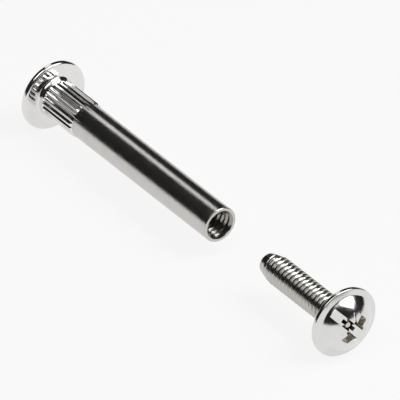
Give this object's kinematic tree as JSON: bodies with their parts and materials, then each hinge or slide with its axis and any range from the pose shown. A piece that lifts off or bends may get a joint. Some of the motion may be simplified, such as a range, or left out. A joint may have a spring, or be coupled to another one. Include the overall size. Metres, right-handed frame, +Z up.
{
  "type": "binding barrel and screw",
  "caption": "Domed, flanged binding barrel with a splined neck and a tapped sleeve, apart from its matching screw with a slotted cross recess, in bright nickel plate.",
  "frame": {"origin": "on the surface the two heads lie on, below the middle of the set's length", "axes": "+X along the common axis from the barrel's head to the screw's head, +Z up"},
  "size_m": [0.0719, 0.0102, 0.0102],
  "materials": {
    "barrel_nickel": "bright nickel plate",
    "screw_nickel": "bright nickel plate"
  },
  "bodies": {
    "barrel": {"barrel": "barrel_nickel"},
    "screw": {"screw": "screw_nickel"}
  },
  "joints": [
    {"name": "screw_travel", "type": "slide", "parent": "barrel", "child": "screw", "axis": [-1, 0, 0], "range_m": [0, 0.02735]}
  ]
}
